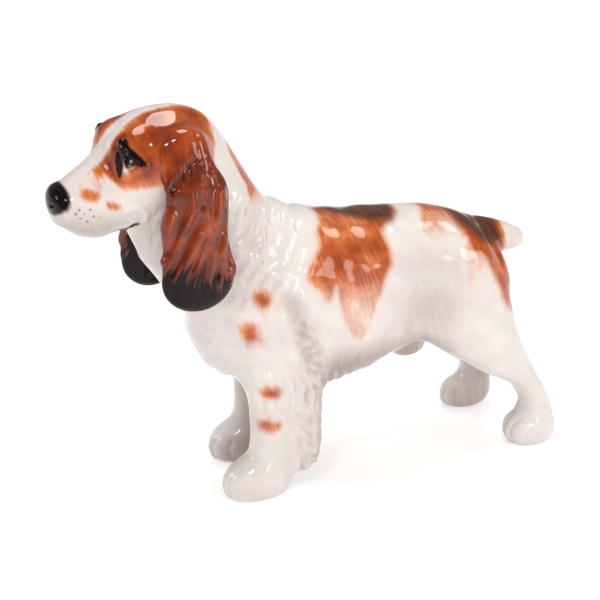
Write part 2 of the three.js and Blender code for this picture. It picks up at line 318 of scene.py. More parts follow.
# Crests of the locks: place behind the root and below it.
ear_locks = [
    [(-8.6, 5), (-9.6, 11), (-9.8, 17)],
    [(-7.4, 19), (-9.2, 25.5), (-11, 32.5), (-12.7, 38.5)],
    [(-2.4, 18), (-2.8, 23), (-4.9, 28), (-8.2, 34), (-11.5, 39)],
    [(0.3, 24.5), (-1.1, 30), (-3.2, 34.5), (-5.5, 39), (-9.5, 43.5)],
    [(0.9, 13.5), (0.5, 17), (1.8, 26), (1.3, 32), (-1, 37), (-3.4, 42), (-4.3, 50)],
    [(4.9, 14.5), (6.3, 18), (5.9, 22.5), (4.6, 28.5), (2.6, 34.5), (1.9, 40), (0.5, 47)],
    [(7.5, 19), (7.7, 26), (6.9, 33), (5.5, 38), (5.9, 43.5), (4, 46)],
    [(8.6, 38), (9.2, 43), (7.8, 47)],
]


def level_ovals(rows, side, at):
    """Ovals lying level about a limb's own origin, in the same columns as the upright ones."""
    level, front, back, shift, half = smooth_rows(rows).T
    height = level + at[2]
    return np.column_stack([front + at[1], height, back + at[1], height, shift * side + at[0], half])


def ramp(value, start, end):
    """0 up to the start, then rising evenly to 1 at the end."""
    return np.clip((value - start) / (end - start), 0, 1)


def near(reach, width):
    """1 on a line, falling away to both sides over about this width."""
    return np.exp(-((reach / width) ** 2))


def thumbed(block, clay, low, high, passes):
    """Clay smoothed by the thumb inside a box, less so towards the sides of the box."""
    part, *axes = block.around(low, high)
    smooth = clay[part].copy()
    sponge(smooth, passes)
    press = 1.0
    for places, first, last in zip(axes, low, high):
        press = press * ramp(np.minimum(places - first, last - places), 0, (last - first) / 4)
    clay[part] += press * (smooth - clay[part])


ear_fields = {}
for name, root in ear_roots.items():
    side = math.copysign(1, root[0])
    ovals = level_ovals(ear_rows, side, root)
    ovals[:, 0] += ear_swing[name] * ramp(root[2] - ovals[:, 1], 30, 48)
    ear_fields[name] = head_block.clay(skin(ovals, ear_tip_dome, ear_top_dome))
    sponge(ear_fields[name], passes=4)
    root_fillet = 0.5 + 8 * ramp(head_block.z - root[2], -19, -3)
    head_clay = joined(head_clay, ear_fields[name], root_fillet)
    root_middle = np.array(root) - (side * thumb_inset, 0, thumb_drop)
    thumbed(head_block, head_clay, root_middle - thumb_reach, root_middle + thumb_reach, passes=80)
    carve(head_clay, roll(head_block, ear_fold * (side, 1, 1) + root, (0.8, 1.2)), 0.8)


def line_reach(places, line):
    """Distance of each place from a line of points, and how far along the line that is, from 0 to 1."""
    line = np.array(line, float)
    nearest = np.full(len(places), 1e3)
    travel = np.zeros(len(places))
    for i in range(len(line) - 1):
        run = line[i + 1] - line[i]
        share = np.clip((places - line[i]) @ run / (run @ run), 0, 1)
        reach = np.linalg.norm(places - line[i] - share[:, None] * run, axis=1)
        nearer = reach < nearest
        nearest[nearer] = reach[nearer]
        travel[nearer] = (i + share[nearer]) / (len(line) - 1)
    return nearest, travel


def ear_flow(places, root):
    """Hair lines of an ear: place across the locks and depth below the root."""
    depth = root[2] - places[:, 2]
    across = places[:, 1] - root[1]
    lean = np.clip(depth - 14, 0, 32) * np.clip(0.28 - 0.012 * across, 0.1, 0.42)
    return across + lean + 0.5 * np.sin(depth / 5), depth


def ear_relief(places, root):
    """Height of the wavy locks and fine strands over the smooth flap."""
    lock, depth = ear_flow(places, root)
    flat = np.column_stack([places[:, 1] - root[1], depth])
    height = np.full(len(places), -0.4)
    for i, line in enumerate(ear_locks):
        reach, travel = line_reach(flat, line)
        wave = 1 + 0.3 * np.sin(2 * math.pi * depth / 15 + 2 * i)
        height += 1.3 * wave * near(reach, 1.4) * np.sin(math.pi * np.clip(travel, 0.15, 0.85))
    strands = np.abs(np.sin(math.pi * lock / 2.4 + np.sin(depth / 7))) - 0.64
    fade = ramp(depth, 3, 9) * np.clip((56 - depth) / 8, 0.1, 1)
    return fade * (height + 0.07 * strands)


# Forelegs: solid castings with the paw and the feathering behind the leg, luted under the chest.
# Columns from the sole up as for the ears, about each leg's own axis.
foreleg_rows = [
    (0, -13, 4.6, 0, 5.2),
    (1.2, -15.2, 6, 0, 6.7),
    (3.2, -16.4, 6.9, 0, 7.5),
    (6.5, -16.6, 7.2, 0, 7.8),
    (10, -14.6, 7, 0, 7.4),
    (12.7, -10.5, 6.8, 0, 6.7),
    (15.5, -7.6, 6.6, 0, 6.2),
    (21, -6.7, 6.2, 0, 6),
    (28, -6.8, 6.6, 0, 6.4),
    (34, -7.2, 7.5, 0, 7.2),
    (40, -8, 9, -0.4, 8),
    (47, -8, 10, -2.4, 7.6),
]
feather_rows = [
    (9, 2, 17, 0, 3),
    (14, 2, 18.3, 0, 3.6),
    (24, 2, 18.6, 0, 3.8),
    (34, 2, 18.6, 0, 4),
    (40, 2, 18, 0, 4),
]
shoulder_dome = 7.0
feather_dome = 4.0
feather_fillet = 2.5
fore_toe_reach, fore_paw_half = 6.0, 8.0
foreleg_axes = {"left_foreleg": (14, -21.3, 0), "right_foreleg": (-14, -15.3, 0)}
limb_fields = {}
for name, axis in foreleg_axes.items():
    side = math.copysign(1, axis[0])
    leg = body_block.clay(skin(level_ovals(foreleg_rows, side, axis), 0, shoulder_dome))
    feather_ovals = level_ovals(feather_rows, side, axis)
    feather = body_block.clay(skin(feather_ovals, feather_dome, feather_dome))
    limb_fields[name] = joined(leg, feather, feather_fillet)


def toe_relief(places, axis, reach, half):
    """Grooves between the toes on the front of a paw."""
    across = (places[:, 0] - axis[0]) / half
    ahead = ramp(axis[1] - places[:, 1], reach, reach + 5)
    low = ramp(places[:, 2], 11, 8) * ramp(places[:, 2], 0, 1.5)
    toes = np.abs(np.sin(math.pi * (across * 1.9 + 0.5))) ** 0.5 - 0.8
    return ahead * low * 0.8 * toes


def foreleg_relief(places, axis):
    """Toes, and the wavy hair behind the leg."""
    x, y, height = places.T
    behind = ramp(y - axis[1], 6, 10) * np.clip((axis[1] + 20 - y) / 5, 0.3, 1)
    lock = y + 1.1 * np.sin(height / 3.1) + 0.8 * np.sin(height / 1.7 + y / 2) + 0.3 * height
    locks = np.abs(np.sin(math.pi * lock / 2.9)) - 0.64
    bend = 1.6 * np.sin(height / 4.3 + y / 2.1)
    curls = np.sin(height / 1.7 + 0.8 * y + x / 2 + bend) * np.sin(y / 1.4 - height / 2.6 - bend)
    hair = behind * ramp(height, 46, 40) * (0.5 * locks + 0.6 * curls)
    return hair + toe_relief(places, axis, fore_toe_reach, fore_paw_half)


# Hind legs: solid castings of thigh, hock and paw, luted to the sides of the rump.
# The right paw stands further forward, and its leg follows it up to the hip.
hind_leg_rows = [
    (0, -8, 5.4, 0, 4.6),
    (1.2, -10, 7, 0, 6),
    (3, -11.4, 7.9, 0, 6.8),
    (5.5, -11.7, 8.1, 0, 7.1),
    (8.5, -10.6, 7.5, 0, 6.8),
    (11, -7.2, 6.9, 0, 6),
    (15, -5.4, 5.6, 0, 5.5),
    (19.3, -7.2, 3.9, 0, 5.5),
    (23.5, -11, 1.8, 0, 5.9),
    (28.8, -20.8, -1.2, 0, 6.5),
    (33.5, -27.8, -3.5, 0, 7.2),
    (38, -34.8, -5.6, 0, 8),
    (44, -42, -7.8, 0, 8.7),
    (51, -46.5, -9.6, 0, 8.4),
    (58, -46, -12.4, 0, 7.3),
]
hind_leg_axes = {"left_hind_leg": (18.5, 78.7, 0), "right_hind_leg": (-18.5, 73.2, 0)}
hind_toe_reach, hind_paw_half = 3.0, 7.2
hip_dome = 8.0
hip_inset = 4.5
hip_height = 50.0
hip_behind = {"left_hind_leg": 0.0, "right_hind_leg": 5.5}
for name, axis in hind_leg_axes.items():
    side = math.copysign(1, axis[0])
    ovals = level_ovals(hind_leg_rows, side, axis)
    rise = np.minimum(ovals[:, 1] / hip_height, 1)
    ovals[:, 4] -= hip_inset * rise * side
    ovals[:, 0] += hip_behind[name] * rise
    ovals[:, 2] += hip_behind[name] * rise
    limb_fields[name] = body_block.clay(skin(ovals, 0, hip_dome))

# Tail: a short docked stump, cast solid and luted to the top of the rump.
# Columns from the tip to the root: distance from the root, half height, half width.
tail_rows = [(20, 3.9, 4.2), (16.5, 5.1, 5.4), (11, 6.3, 6.6), (5, 6.9, 7.3), (0, 7, 7.6)]
tail_tip_dome = 3.4
tail_root_dome = 4.0
tail_root = (58.0, 73.6)
tail_droop = math.radians(9.7)
distance, half_height, half_width = smooth_rows(tail_rows).T
tail_y = tail_root[0] + distance * math.cos(tail_droop)
tail_z = tail_root[1] - distance * math.sin(tail_droop)
over_y, over_z = half_height * math.sin(tail_droop), half_height * math.cos(tail_droop)
tail_ovals = np.column_stack(
    [tail_y - over_y, tail_z - over_z, tail_y + over_y, tail_z + over_z, 0 * half_width, half_width]
)
limb_fields["tail"] = body_block.clay(skin(tail_ovals, tail_tip_dome, tail_root_dome))

# Luting: the leather-hard castings are scored and joined with slip, and the seams are sponged until the
# skin runs through. Hair strokes and the soft modelling of the trunk are then worked into the surface.
neck_strokes = [
    [(11.9, -28.4, 103.5), (14.3, -30.3, 99.6), (16.4, -34.5, 96.0)],
    [(13.5, -25.0, 96.0), (15.8, -28.2, 92.8), (17.4, -33.8, 87.3)],
    [(14.6, -23.2, 91.8), (16.6, -23.7, 87.3), (18.2, -27.3, 82.8)],
    [(13.1, -21.7, 93.6), (12.5, -20.1, 93.4), (14.0, -20.0, 91.0)],
    [(11.7, -13.8, 91.7), (13.8, -12.2, 89.3)],
    [(17.9, -12.2, 83.4), (19.0, -15.7, 81.1)],
    [(19.5, -20.3, 78.9), (20.2, -16.3, 77.8)],
    [(19.9, -22.2, 76.2), (20.8, -18.7, 74.2)],
    [(17.7, -24.3, 84.2), (18.6, -24.7, 80.7)],
    [(19.1, -29.8, 71.8), (18.5, -32.0, 69.3)],
    [(22.1, -17.3, 65.8), (22.3, -16.3, 61.7)],
    [(10.2, -40.1, 57.7), (12.4, -35.8, 52.7)],
    [(10.5, -41.0, 60.5), (11.9, -39.5, 56.7), (8.3, -39.8, 51.6)],
    [(6.7, -42.4, 58.0), (8.0, -41.2, 54.0), (5.5, -40.2, 50.0)],
]
# Swellings of shoulder, ribs and thigh: middle, height, radius.
swellings = [
    ((13.4, 0.3, 86.4), 0.5, 4.5),
    ((19.4, 0.7, 78.9), 0.35, 4.0),
    ((21.6, 9.2, 73.7), 0.6, 4.5),
    ((9.9, 8.8, 87.4), 0.3, 4.0),
    ((20.2, -14.0, 72.0), 0.6, 8.0),
    ((19.0, 44.0, 68.0), 0.8, 9.0),
]
elbow_line = [(22.3, -17.2, 68.8), (22.4, -13.6, 59.6), (20.8, -9.8, 49.5), (19.0, -7.0, 42.0)]
arm_ridge = [(21.8, -20.4, 62.2), (20.9, -16.0, 49.7), (18.6, -10.0, 37.7)]
chest_hollow = [(15.0, -38.0, 66.3), (15.6, -34.6, 55.4), (13.9, -30.6, 43.7)]
flank_hollow = np.array([20.5, 31.0, 58.5])
belly_tuft, tuft_size, tuft_tilt = (0, 36, 39.2), (5.5, 7.5, 6.2), -10
tuft_fillet = 5.0
leg_fillet = 6.0
tail_fillet = 2.5


def folded(places):
    """Places on the dog's right moved to its left, for features that both sides share."""
    return np.abs(places) * (1, 0, 0) + places * (0, 1, 1)


def elbow_hair(both):
    """Distance from the hollow behind the elbow, and the height of the small curls in it."""
    reach, _ = line_reach(both, elbow_line)
    y, z = both[:, 1], both[:, 2]
    bend = 1.6 * np.sin(y / 2.3 + z / 3.7)
    curls = np.sin(1.5 * y + 0.5 * z + 1.7 * np.sin(z / 2.3) + bend) * np.sin(z / 1.6 - y / 2.2 - bend)
    return reach, curls * ramp(z, 66, 60)


def trunk_relief(places):
    """Hair strokes and soft modelling of the neck, chest, belly and flank."""
    both = folded(places)
    x, y, z = both.T
    upper = ramp(z, 24, 38) * (1 - 0.75 * ramp(y, 19, 26))
    height = 0.3 * upper * np.sin(y / 2.5 + z / 8 + 1.3 * np.sin(z / 6)) * np.sin(z / 3.2 + x / 6 - y / 9)
    mane = ramp(y, -6, -16) * ramp(z, 58, 70) * ramp(x, 6, 11)
    flow = 0.8 * y - 0.6 * z + 0.8 * np.sin(z / 5)
    height += 0.3 * mane * np.sin(2 * math.pi * flow / 4.4) * np.sin(z / 4.5 + y / 7 + x / 5) ** 2
    for stroke in neck_strokes:
        reach, travel = line_reach(both, stroke)
        height += 0.6 * near(reach, 0.8) * np.sin(math.pi * np.clip(travel, 0.12, 0.88))
    for middle, rise, radius in swellings:
        height += rise * np.exp(-0.5 * (np.linalg.norm(both - middle, axis=1) / radius) ** 2)
    elbow, curl = elbow_hair(both)
    height += near(elbow, 3.2) * (0.6 * curl - 0.9)
    arm, _ = line_reach(both, arm_ridge)
    hollow, _ = line_reach(both, chest_hollow)
    height += 0.6 * near(arm, 2.2) - 0.8 * near(hollow, 3.2)
    fringe = ramp(z, 47, 39) * ramp(y, 12, 2) * ramp(z, 30, 34)
    tuft = np.abs(np.sin(math.pi * (y + 0.9 * np.sin(z / 3.2) + 0.2 * z) / 3.3)) - 0.64
    height += 0.8 * fringe * tuft
    flank = np.linalg.norm((both - flank_hollow) / (1, 1, 1.6), axis=1)
    return height - 1.3 * near(flank, 6)


add(body_skin, lump(body_block, belly_tuft, tuft_size, tuft_tilt), tuft_fillet)
body_clay = body_skin
for name, field in limb_fields.items():
    body_clay = joined(body_clay, field, tail_fillet if name == "tail" else leg_fillet)

seam_low = np.array([neck_seam[2], neck_seam[3]])
seam_run = np.array([neck_seam[0], neck_seam[1]]) - seam_low
seam_normal = np.array([0, -seam_run[1], seam_run[0]]) / np.linalg.norm(seam_run)


def ahead_of_seam(places):
    """Distance of each place in front of the neck seam, negative behind it."""
    return (places[:, 1:] - seam_low) @ seam_normal[1:]


def mesh_normals(places, quads):
    """Directions square to a mesh at its places."""
    one, two, three, four = (places[quads[:, k]] for k in range(4))
    turned = np.cross(three - one, four - two)
    total = np.zeros_like(places)
    for k in range(4):
        np.add.at(total, quads[:, k], turned)
    return total / np.maximum(np.linalg.norm(total, axis=1), 1e-12)[:, None]


def sponged(block, clay, side_of_seam):
    """The joined skin, wound outwards, with a row of its places drawn onto the neck seam."""
    places, quads = block.mesh(clay)
    if np.sum(mesh_normals(places, quads) * block.slope(clay, places)) < 0:
        quads = quads[:, ::-1]
    ahead = ahead_of_seam(places) * side_of_seam
    crossing = np.any(ahead[quads] > 0, axis=1) & np.any(ahead[quads] < 0, axis=1)
    over = np.unique(quads[crossing])
    over = over[ahead[over] < 0]
    places[over] -= (ahead[over] * side_of_seam)[:, None] * seam_normal
    for _ in range(3):
        slope = block.slope(clay, places[over])
        slope -= (slope @ seam_normal)[:, None] * seam_normal
        places[over] -= slope * (block.read(clay, places[over]) / np.sum(slope * slope, axis=1))[:, None]
    on_side = np.any(ahead[quads] > 0, axis=1)
    return places, quads, on_side


def owners(block, places, quads, fields):
    """Which casting each quad belongs to: the one whose own skin lies nearest."""
    depths = np.column_stack([block.read(field, places) for field in fields.values()])
    return np.array(list(fields))[np.argmin(depths[quads].mean(axis=1), axis=1)]


def closeness(block, field, places):
    """1 on a casting's own skin, falling to 0 a little way off it."""
    return ramp(block.read(field, places), 2.5, 0)


body_places, body_quads, behind_seam = sponged(body_block, body_clay, -1)
body_owner = owners(body_block, body_places, body_quads, {"torso": body_skin, **limb_fields})
relief = trunk_relief(body_places)
for name, axis in foreleg_axes.items():
    on_leg = closeness(body_block, limb_fields[name], body_places)
    relief += on_leg * foreleg_relief(body_places, axis)
for name, axis in hind_leg_axes.items():
    on_leg = closeness(body_block, limb_fields[name], body_places)
    relief += on_leg * toe_relief(body_places, axis, hind_toe_reach, hind_paw_half)
body_places += mesh_normals(body_places, body_quads) * relief[:, None]
body_places[:, 2] = np.maximum(body_places[:, 2], 0)
body_normals = mesh_normals(body_places, body_quads)

head_places, head_quads, before_seam = sponged(head_block, head_clay, 1)
head_owner = owners(head_block, head_places, head_quads, {"head": bare_head, **ear_fields})
on_neck = ramp(head_places[:, 2], 107, 99) * (head_places[:, 1] > -58)
relief = on_neck * trunk_relief(head_places)
for name, root in ear_roots.items():
    on_ear = closeness(head_block, ear_fields[name], head_places)
    relief += on_ear * (ear_relief(head_places, root) - relief)
head_places += mesh_normals(head_places, head_quads) * relief[:, None]
head_normals = mesh_normals(head_places, head_quads)


def casting(places, normals, quads):
    """One casting's share of a skin, closed at its seams by a fan to each seam's middle."""
    used, numbered = np.unique(quads, return_inverse=True)
    quads = numbered.reshape(-1, 4)
    edges = np.vstack([quads[:, [k, (k + 1) % 4]] for k in range(4)])
    count = len(used)
    seam = edges[~np.isin(edges[:, 0] * count + edges[:, 1], edges[:, 1] * count + edges[:, 0])]
    onward = {}
    for a, b in seam.tolist():
        onward.setdefault(a, []).append(b)
    middles, fans = [], []
    for start in list(onward):
        while onward[start]:
            loop = [start]
            while onward[loop[-1]]:
                loop.append(onward[loop[-1]].pop())
            fans += [(b, a, count + len(middles)) for a, b in zip(loop[:-1], loop[1:])]
            middles.append(places[used][loop].mean(axis=0))
    return {
        "places": np.vstack([places[used], *middles]),
        "normals": normals[used],
        "quads": quads,
        "fans": fans,
    }


castings = {}
for name in ("torso", *limb_fields):
    castings[name] = casting(body_places, body_normals, body_quads[(body_owner == name) & behind_seam])
castings["head"] = casting(head_places, head_normals, head_quads[(head_owner == "head") & before_seam])
for name in ear_fields:
    castings[name] = casting(head_places, head_normals, head_quads[head_owner == name])

# Torso finish: brown and black patches brushed on the biscuit in hair strokes, then a dip in clear glaze.
# A shade is how thick the paint lies, from 0 to 1, and its colour seen through the glaze.
# A patch outline is the place along the back and the degrees round from the spine, plus on the dog's left.
brown_shades = [
    (0, (242, 192, 156)), (0.14, (228, 142, 84)), (0.4, (194, 94, 40)), (0.7, (156, 62, 20)),
    (1, (108, 38, 12)),
]
white_shades = [(0.3, (238, 232, 229)), (0.7, (229, 219, 213))]
dark_brown = [(0.3, (60, 38, 32)), (0.7, (104, 66, 50))]
# Colour of the painted grey shade laid over the white in hollows and on undersides.
painted_shade_colour = (180, 162, 154)
millimetre = 0.001
girth_radius = 25.0
girth_height = 62.0
saddle_patch = [
    (-1.5, 0), (-1.2, 13), (-4.3, 25), (-5.3, 36), (-8.7, 44), (-11.3, 53), (-10, 63), (-7.7, 68),
    (-4.3, 76), (-1.9, 66), (-0.2, 84), (2.8, 100), (6.8, 112), (9.2, 102), (10.9, 88), (13.8, 76),
    (16.3, 66), (19.6, 54), (20.4, 43), (19.6, 31), (22.5, 24), (27, 16), (29, 4), (28.5, -10),
    (24, -20), (24.5, -34), (21, -48), (16, -60), (12.5, -76), (9, -66), (4, -58), (1, -70),
    (-3, -56), (-2.5, -40), (1.5, -26), (0, -12),
]
rump_patch = [
    (38.7, 0), (38.2, 8), (36.7, 17), (34.9, 29), (36.3, 37), (41.3, 42), (46.8, 42), (50, 40),
    (50, 47), (50.5, 54), (52.5, 57), (54.5, 58), (56.4, 64), (59.2, 84), (62, 104), (65, 117),
    (70, 124), (76, 100), (78, 40), (78, -40), (76, -100), (66, -92), (60, -72), (54, -60),
    (50, -44), (46, -38), (39, -30), (37, -16),
]
saddle_shade = [
    (3, -8), (4, 7), (9, 12), (13, 14), (18, 20), (24.5, 19), (28.2, 10), (28.2, -4),
    (22, -16), (10, -12),
]
rump_shade = [
    (48, -8), (47.5, 4), (48.5, 12), (50, 22), (52.5, 32), (55.5, 42), (60, 46), (65, 40),
    (76, 0), (68, -22), (56, -20),
]
nape_patch = [(3.0, -28.0, 114), (4.5, -22.0, 103.5), (6.5, -22.5, 101.5)]
nape_half_width = 6.0
nape_low_end = 101
# Painted shade in the hollow of the flank: middle and size.
flank_painted_shade, flank_painted_shade_size = (21, 33, 58), (9, 9, 11)
# Spots and smears: line, half width, and the most depth of paint at both ends of the line.
chest_dabs = [
    ([(20.2, -26.6, 71.8), (20.4, -25.6, 70.4)], 2.7, 2.4, 2.4),
    ([(20.4, -25.0, 69.5), (21.0, -22.6, 64.0)], 2.2, 0.4, -1.6),
    ([(18.4, -30.2, 61.0), (18.6, -29.6, 58.8)], 3.0, 2.8, 2.8),
    ([(18.5, -28.8, 57.0), (18.2, -27.0, 53.0)], 2.4, 0.6, -1.6),
    ([(18.0, 50.8, 75.5), (20.4, 50.8, 66.9), (21.6, 52.5, 61.0)], 2.4, 0.3, -1.7),
    ([(17.4, 54.0, 73.0), (20.2, 55.5, 66.0)], 2.0, 0.3, -1.7),
    ([(-20.0, -30.0, 68.0), (-20.0, -28.0, 67.0)], 2.7, 2.6, 2.6),
    ([(-19.6, -22.0, 52.0), (-20.4, -20.5, 53.0)], 2.4, 2.6, 2.6),
]


def outline_depth(flat, outline):
    """How far inside a smooth closed outline each flat place lies, negative outside it."""
    wrapped = smooth_rows([*outline[-2:], *outline, *outline[:2]], 3)[6:-6]
    edge = np.vstack([wrapped, wrapped[:1]])
    reach, _ = line_reach(flat, edge)
    inside = np.zeros(len(flat), bool)
    for (a, b), (c, d) in zip(edge[:-1], edge[1:]):
        if b != d:
            crosses = (flat[:, 1] < b) != (flat[:, 1] < d)
            inside ^= crosses & (flat[:, 0] < a + (flat[:, 1] - b) / (d - b) * (c - a))
    return np.where(inside, reach, -reach)


def trunk_depth(places, patch):
    """How far inside a patch of the trunk each place lies, in millimetres over the skin."""
    turn = np.arctan2(places[:, 0], places[:, 2] - girth_height)
    flat = np.column_stack([places[:, 1], girth_radius * turn])
    outline = [(y, girth_radius * math.radians(degrees)) for y, degrees in patch]
    return outline_depth(flat, outline)


def dabbed(places, depth, dabs):
    """A paint's depth with brush dabs added."""
    for line, half, most, last in dabs:
        reach, travel = line_reach(places, line)
        depth = np.maximum(depth, np.minimum(half - reach, most + travel * (last - most)))
    return depth


def coat_painted_shade(places, normals):
    """Painted grey shade in hollows and undersides: elbow, flank, belly, neck and the legs' inner sides.
    """
    both = folded(places)
    y, z = both[:, 1], both[:, 2]
    elbow, curl = elbow_hair(both)
    flank = np.linalg.norm((both - flank_painted_shade) / flank_painted_shade_size, axis=1)
    belly = ramp(z, 53, 41) * ramp(y, -8, 0) * ramp(y, 46, 34)
    neck = ramp(y, -18, -26) * ramp(z, 66, 74)
    # Painted shade on the sides of the legs that face each other.
    inner_side_shade = np.clip(-normals[:, 0] * np.sign(places[:, 0]), 0, 1) * ramp(z, 44, 32)
    # Painted shade in the hollow behind the elbow, broken by its curls.
    hollow = (1.1 - 0.6 * curl) * near(elbow, 3.6)
    return np.max([hollow, 1.1 * np.exp(-0.5 * flank**2), 2.4 * belly, 0.7 * neck, 1.5 * inner_side_shade], axis=0)


def nape_depth(places):
    """Depth of the brown on the nape, which thins out down the neck."""
    reach, _ = line_reach(places, nape_patch)
    return np.minimum(nape_half_width - reach, 0.6 * (places[:, 2] - nape_low_end))


def coat_paint(places, normals):
    """Depths of brown and black on the trunk, the painted grey shade in its hollows, and its hair lines.
    Both patches are fullest on the back and thin out down the sides."""
    saddle_full = -0.1 + 1.8 * ramp(places[:, 2], 62, 76)
    saddle = np.minimum(trunk_depth(places, saddle_patch), saddle_full)
    loin_full = -1.4 + 2.9 * ramp(places[:, 2], 79.5, 86.5)
    rump_full = loin_full + (2.4 - loin_full) * ramp(places[:, 1], 47, 52)
    rump = np.minimum(trunk_depth(places, rump_patch), rump_full)
    brown = np.maximum(np.maximum(saddle, rump), np.minimum(nape_depth(places), 2.2))
    black = np.maximum(trunk_depth(places, saddle_shade), trunk_depth(places, rump_shade))
    return {
        "brown": dabbed(places, brown, chest_dabs),
        "black": black,
        "painted_shade": coat_painted_shade(places, normals),
        "hair": np.column_stack([places[:, 1] + 0.2 * places[:, 2], places[:, 2], places[:, 0]]),
    }


def linear(red, green, blue):
    """A colour seen on the glaze, 0 to 255, as the light that it reflects."""
    parts = [value / 255 for value in (red, green, blue)]
    return (*[p / 12.92 if p < 0.04045 else ((p + 0.055) / 1.055) ** 2.4 for p in parts], 1)


def node(tree, kind, inputs, **settings):
    """A new shader node with its settings made, and its inputs linked or set."""
    made = tree.nodes.new("ShaderNode" + kind)
    for key, value in settings.items():
        setattr(made, key, value)
    for key, value in inputs.items():
        if isinstance(value, bpy.types.NodeSocket):
            tree.links.new(value, made.inputs[key])
        else:
            made.inputs[key].default_value = value
    return made


def shaded(tree, thickness, shades):
    """The colour of a paint by how thick it lies."""
    blend = node(tree, "ValToRGB", {"Fac": thickness})
    points = blend.color_ramp.elements
    for i, (thick, colour) in enumerate(shades):
        point = points[i] if i < 2 else points.new(thick)
        point.position = thick
        point.color = linear(*colour)
    return blend.outputs["Color"]


def brushed(tree, depth, streak, sway, soft):
    """How much paint lies on the skin: its depth swayed by the hair streaks, with a soft edge."""
    swayed = node(tree, "Math", {0: streak, 1: 2 * sway, 2: depth}, operation="MULTIPLY_ADD")
    centred = node(tree, "Math", {0: swayed.outputs[0], 1: sway}, operation="SUBTRACT").outputs[0]
    amount = node(
        tree,
        "MapRange",
        {"Value": centred, "From Min": -soft, "From Max": soft},
        interpolation_type="SMOOTHSTEP",
    )
    return centred, amount.outputs["Result"]


def mixed(tree, factor, one, other):
    """One colour going over to the other as the factor rises to 1."""
    blend = tree.nodes.new("ShaderNodeMix")
    blend.data_type = "RGBA"
    tree.links.new(factor, blend.inputs["Factor"])
    for socket, value in ((blend.inputs[6], one), (blend.inputs[7], other)):
        if isinstance(value, bpy.types.NodeSocket):
            tree.links.new(value, socket)
        else:
            socket.default_value = value
    return blend.outputs[2]


def painted_glaze(name, brown_edge, black_edge, black_shades, black_most=1.0):
    """Porcelain under clear glaze, with brown and black brushed on in streaks along the hair, and painted
    grey shade over the white.
    An edge is how far the streaks sway it and its softness, in millimetres."""
    material = bpy.data.materials.new(name)
    material.use_nodes = True
    tree = material.node_tree
    shader = tree.nodes["Principled BSDF"]
    layers = ("brown", "black", "painted_shade", "hair")
    laid = {layer: node(tree, "Attribute", {}, attribute_name=layer).outputs for layer in layers}
    hair = laid["hair"]["Vector"]
    lines = node(tree, "VectorMath", {0: hair, 1: (1.0, 0.1, 0.1)}, operation="MULTIPLY").outputs[0]
    streak = node(tree, "TexNoise", {"Vector": lines, "Scale": 1.3, "Detail": 3.0}).outputs["Fac"]
    cloud = node(tree, "TexNoise", {"Vector": hair, "Scale": 0.13, "Detail": 3.0}).outputs["Fac"]
    brown_in, brown = brushed(tree, laid["brown"]["Fac"], streak, *brown_edge)
    _, black = brushed(tree, laid["black"]["Fac"], streak, *black_edge)
    cloudy = node(tree, "Math", {0: cloud, 1: 9.0, 2: brown_in}, operation="MULTIPLY_ADD").outputs[0]
    thick = node(tree, "MapRange", {"Value": cloudy, "From Min": 3.2, "From Max": 10.5}).outputs["Result"]
    brown_colour = shaded(tree, thick, brown_shades)
    black_colour = shaded(tree, streak, black_shades)
    white = shaded(tree, cloud, white_shades)
    # Painted shade: a layer on the skin mixes the grey shade colour over the white, unevenly along the
    # streaks.
    uneven = node(tree, "Math", {0: streak, 1: 0.4, 2: 0.3}, operation="MULTIPLY_ADD").outputs[0]
    painted_shade = node(tree, "Math", {0: laid["painted_shade"]["Fac"], 1: uneven}, operation="MULTIPLY").outputs[0]
    white_with_painted_shade = mixed(tree, painted_shade, white, linear(*painted_shade_colour))
    black_amount = node(tree, "Math", {0: black, 1: black_most}, operation="MULTIPLY").outputs[0]
    colour = mixed(tree, black_amount, mixed(tree, brown, white_with_painted_shade, brown_colour), black_colour)
    tree.links.new(colour, shader.inputs["Base Color"])
    gloss = node(tree, "MapRange", {"Value": cloud, "To Min": 0.04, "To Max": 0.1}).outputs["Result"]
    tree.links.new(gloss, shader.inputs["Roughness"])
    shine = {"Value": black_amount, "To Min": 0.5, "To Max": 0.2}
    mirror = node(tree, "MapRange", shine).outputs["Result"]
    tree.links.new(mirror, shader.inputs["Specular IOR Level"])
    ripple = node(tree, "TexNoise", {"Vector": hair, "Scale": 0.22, "Detail": 1.0}).outputs["Fac"]
    bump = node(tree, "Bump", {"Height": ripple, "Strength": 0.12, "Distance": 0.0006})
    tree.links.new(bump.outputs["Normal"], shader.inputs["Normal"])
    return material


def set_out(name, data):
    """A new object put into the scene."""
    made = bpy.data.objects.new(name, data)
    bpy.context.scene.collection.objects.link(made)
    return made


def finished(name, material, paint):
    """A fired casting as a piece of the figurine, with its paint kept on the skin's points."""
    cast = castings[name]
    places = cast["places"]
    mesh = bpy.data.meshes.new(name)
    mesh.from_pydata((places * millimetre).tolist(), [], cast["quads"].tolist() + cast["fans"])
    count = len(places)
    skin_count = len(cast["normals"])
    for key, values in paint.items():
        full = np.zeros((count, 3) if values.ndim == 2 else count, np.float32)
        full[:skin_count] = values
        kind, field = ("FLOAT_VECTOR", "vector") if values.ndim == 2 else ("FLOAT", "value")
        mesh.attributes.new(key, kind, "POINT").data.foreach_set(field, full.ravel())
    mesh.shade_smooth()
    fan_normals = np.zeros((0, 3))
    if cast["fans"]:
        first, second, third = places[np.array(cast["fans"])].transpose(1, 0, 2)
        fan_normals = np.cross(second - first, third - first)
        fan_normals /= np.maximum(np.linalg.norm(fan_normals, axis=1), 1e-9)[:, None]
    skin_normals = cast["normals"][cast["quads"].ravel()]
    corner_normals = np.vstack([skin_normals, np.repeat(fan_normals, 3, axis=0)])
    mesh.normals_split_custom_set(corner_normals.tolist())
    mesh.materials.append(material)
    piece = set_out(name + "_casting", mesh)
    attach(piece, "root")
    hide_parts(name)


